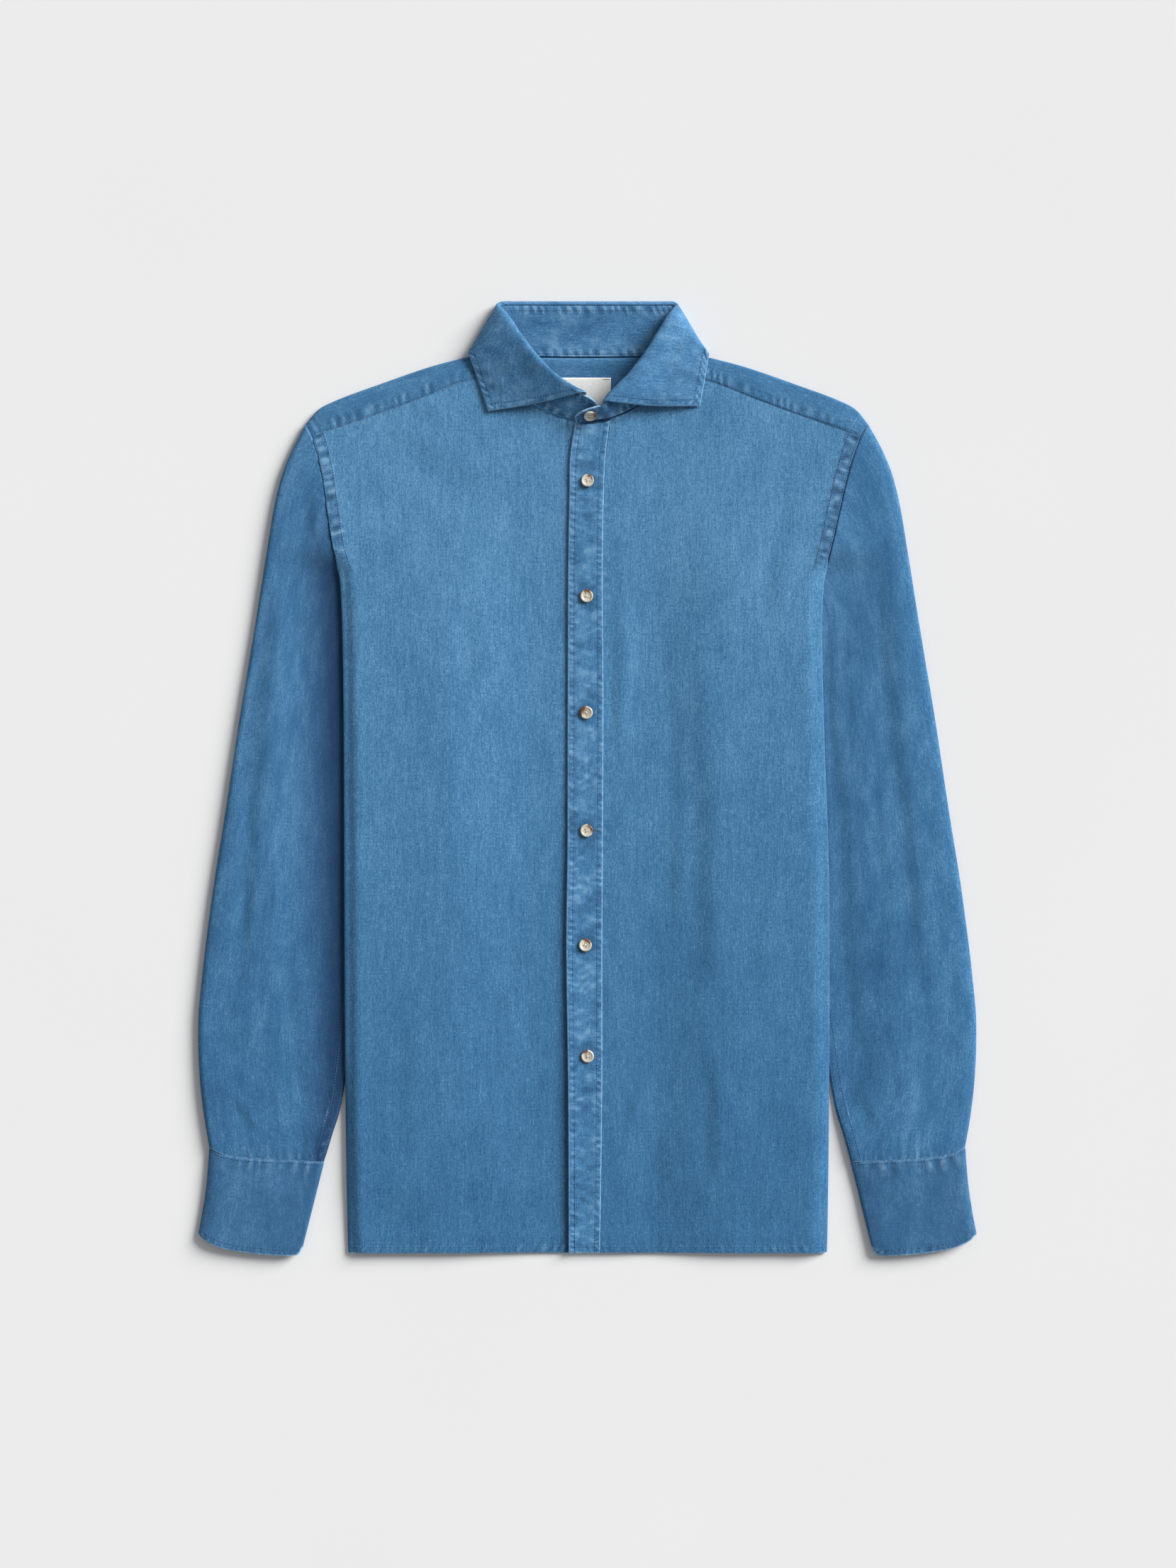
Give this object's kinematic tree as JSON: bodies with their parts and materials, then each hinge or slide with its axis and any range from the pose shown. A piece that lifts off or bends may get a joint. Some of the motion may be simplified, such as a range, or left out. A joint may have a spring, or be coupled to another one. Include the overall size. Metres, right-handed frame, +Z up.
{
  "type": "denim shirt",
  "caption": "Long-sleeved denim shirt with spread collar, front placket and buttoned cuffs, laid flat on its back with the sleeves beside the body.",
  "frame": {"origin": "middle of the overall box, on the surface that the shirt lies on", "axes": "+X towards the wearer's left, +Y from the hem to the collar, +Z up from the surface, towards the front of the shirt"},
  "size_m": [0.6596, 0.8084, 0.0242],
  "materials": {
    "body_denim": "washed light blue denim, matte, slubbed along the grain",
    "sleeve_denim": "washed light blue denim, matte",
    "trim_denim": "washed blue denim, doubled and topstitched, edges worn pale",
    "button_horn": "horn-like cream plastic with brown clouds, polished",
    "label_cloth": "woven satin tape, bare"
  },
  "bodies": {
    "root": {"front_right": "body_denim", "front_left": "body_denim", "placket": "trim_denim", "back": "body_denim", "yoke": "body_denim", "sleeve_right": "sleeve_denim", "sleeve_left": "sleeve_denim", "cuff_right": "trim_denim", "cuff_left": "trim_denim", "collar_leaf": "trim_denim", "collar_band": "trim_denim", "neck_label": "label_cloth", "button_1": "button_horn", "button_2": "button_horn", "button_3": "button_horn", "button_4": "button_horn", "button_5": "button_horn", "button_6": "button_horn", "button_collar": "button_horn"}
  },
  "joints": []
}
